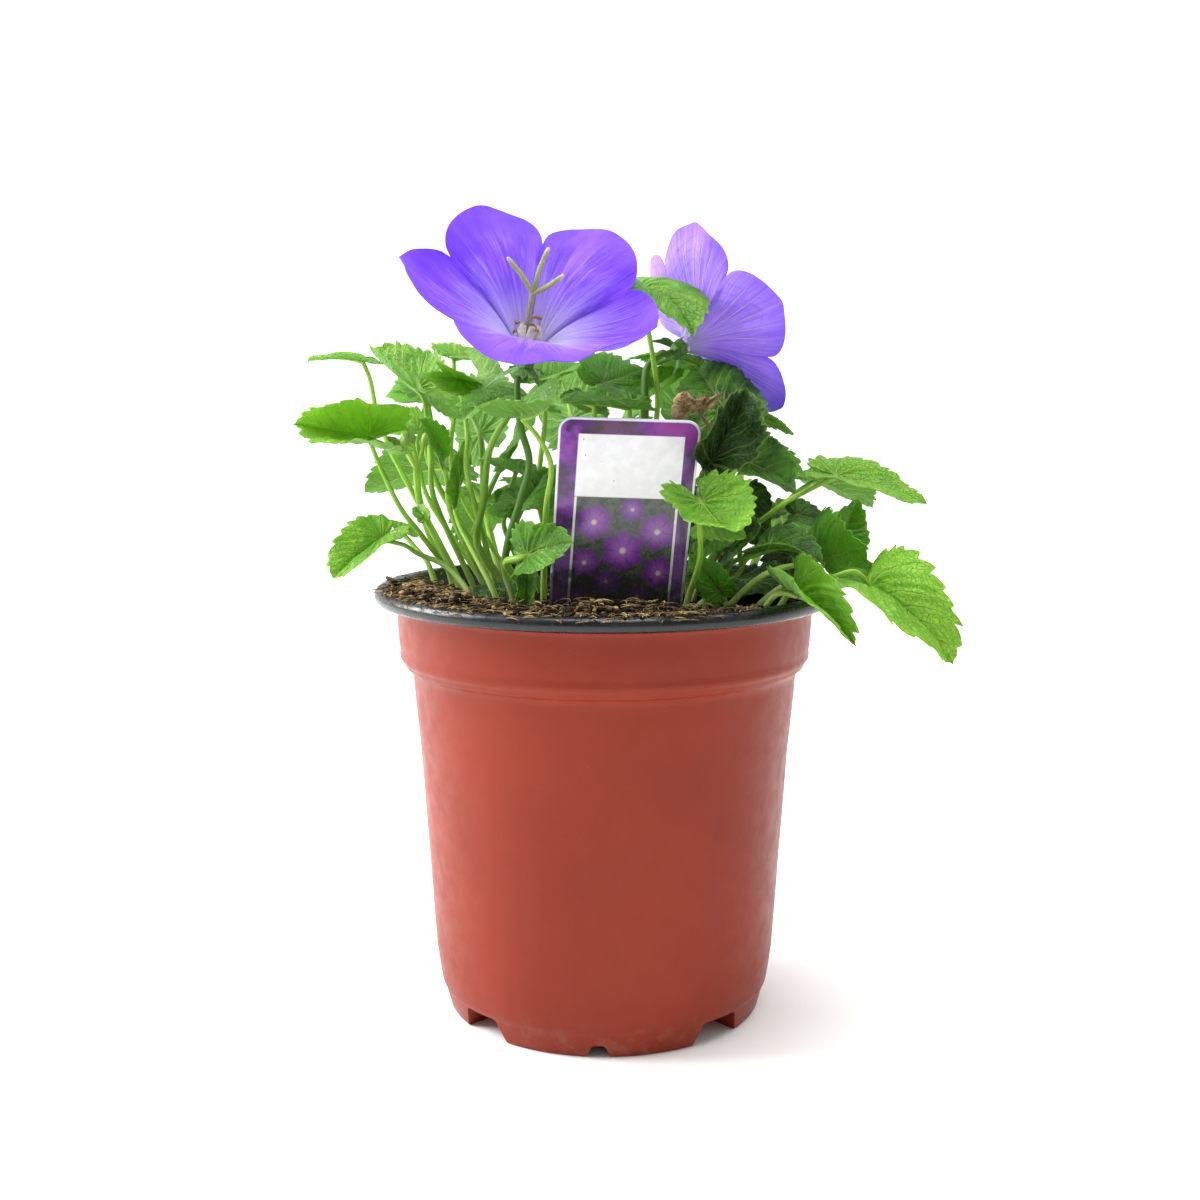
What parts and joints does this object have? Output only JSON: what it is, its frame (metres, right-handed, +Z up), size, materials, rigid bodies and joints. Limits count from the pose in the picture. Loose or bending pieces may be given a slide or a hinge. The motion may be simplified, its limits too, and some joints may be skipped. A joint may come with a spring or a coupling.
{
  "type": "potted plant",
  "caption": "Small bellflower plant with violet cup-shaped flowers and heart-shaped toothed leaves on long stalks, rooted in soil in a round footed nursery pot with a plain plant tag.",
  "frame": {"origin": "on the pot's axis, at the level of the surface that the pot's feet stand on, which is the bottom centre of the whole plant's box", "axes": "+Z up along the pot's axis, the tallest way; -Y is the front that shows the label; +X to the right as seen from the front"},
  "size_m": [0.155, 0.1158, 0.2002],
  "materials": {
    "pot": "satin terracotta plastic outside, black inside and over the lip",
    "soil": "rough dark peat and bark",
    "label": "glossy plastic tag with a bare white panel",
    "leaf": "satin, veined",
    "leaf_underside": "matte, raised veins",
    "withered_leaf": "dry, crumpled",
    "stem": "satin",
    "petal": "soft, finely veined",
    "petal_outside": "soft, pale raised veins",
    "pistil": "fuzzy",
    "stamens": "withered, papery"
  },
  "bodies": {
    "root": {"pot": "pot", "soil": "soil", "label": "label", "leaf_01": "leaf", "leaf_02": "leaf", "leaf_03": "leaf", "leaf_04": "leaf", "leaf_05": "leaf", "leaf_06": "leaf", "leaf_07": "leaf_underside", "leaf_08": "leaf", "leaf_09": "leaf", "leaf_10": "leaf", "leaf_11": "leaf_underside", "leaf_12": "leaf", "leaf_13": "leaf_underside", "leaf_14": "leaf_underside", "leaf_15": "leaf", "leaf_16": "leaf", "leaf_17": "leaf", "leaf_18": "leaf", "leaf_19": "leaf_underside", "leaf_20": "leaf", "leaf_21": "leaf", "leaf_22": "leaf", "leaf_23": "leaf_underside", "leaf_24": "leaf", "leaf_25": "leaf", "leaf_26": "leaf_underside", "leaf_27": "leaf", "leaf_28": "leaf_underside", "leaf_29": "leaf", "leaf_30": "leaf", "leaf_31": "leaf", "leaf_32": "leaf_underside", "leaf_33": "leaf", "leaf_34": "leaf", "leaf_35": "leaf", "leaf_36": "leaf", "leaf_37": "leaf", "leaf_38": "leaf", "leaf_39": "leaf", "leaf_40": "leaf", "leaf_41": "leaf", "leaf_42": "leaf_underside", "leaf_43": "leaf_underside", "leaf_44": "leaf_underside", "leaf_45": "leaf", "withered_leaf": "withered_leaf", "shoot_back_left": "leaf", "shoot_back_mid": "leaf", "shoot_back_right": "leaf", "shoot_back_far_right": "leaf", "flower_1_stem": "stem", "flower_2_stem": "stem", "flower_1_corolla": "petal", "flower_2_corolla": "petal_outside", "flower_1_pistil": "pistil", "flower_1_stamens": "stamens", "bud_shoot": "stem"}
  },
  "joints": []
}
